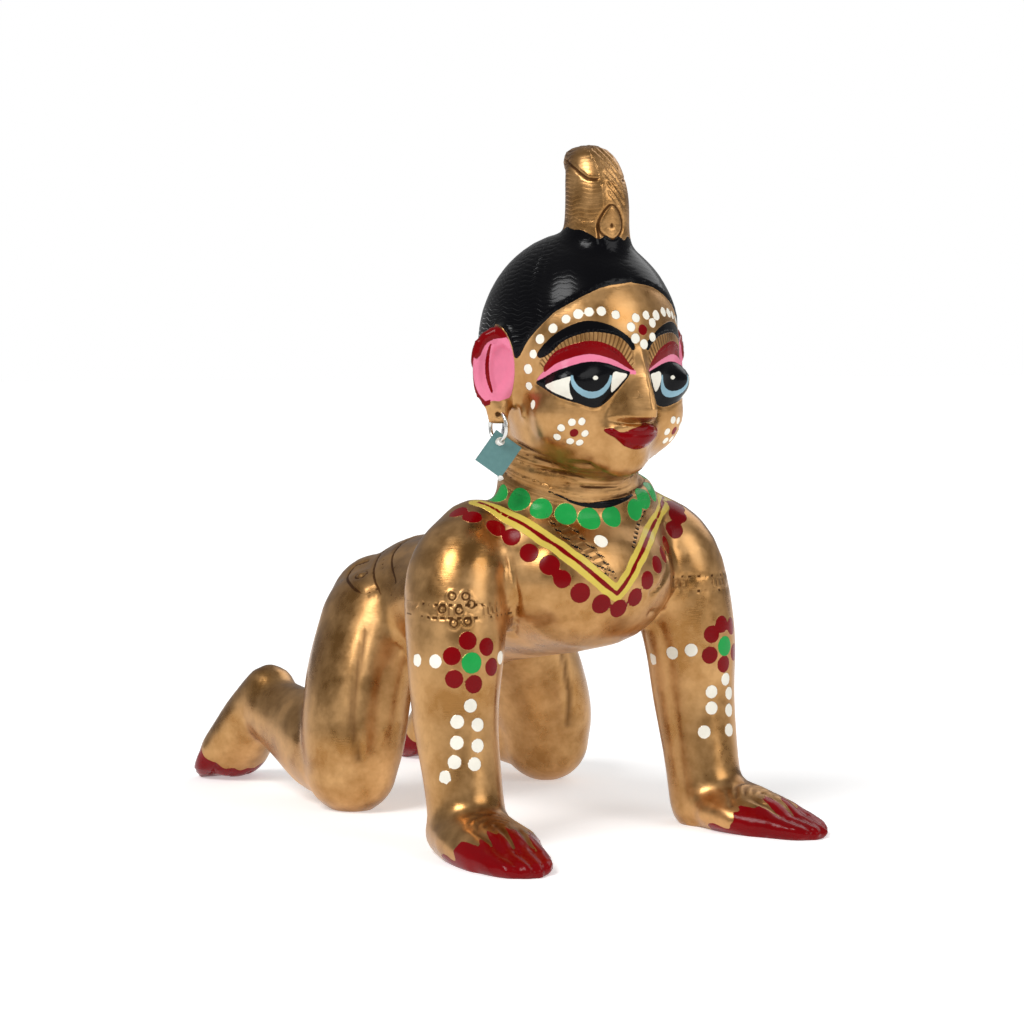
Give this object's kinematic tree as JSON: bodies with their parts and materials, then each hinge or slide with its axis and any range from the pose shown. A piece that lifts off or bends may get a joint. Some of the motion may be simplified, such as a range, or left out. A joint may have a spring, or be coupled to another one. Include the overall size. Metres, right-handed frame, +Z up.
{
  "type": "radha idol",
  "caption": "Small cast brass idol of Radha as a crawling child on hands and knees, with a tall tied crest, painted face and garlands, and a wire ring with a blank tag at one ear.",
  "frame": {"origin": "middle of the bounding box's footprint, on the surface that the idol stands on", "axes": "+Z up; the child faces -Y and its left hand is at +X"},
  "size_m": [0.06, 0.1026, 0.1],
  "materials": {
    "figure_brass": "polished cast brass with hand-painted enamel",
    "ring_wire": "thin silvered wire",
    "tag_card": "teal card, bare"
  },
  "bodies": {
    "root": {"radha_figure": "figure_brass", "ear_ring": "ring_wire", "ear_tag": "tag_card"}
  },
  "joints": []
}
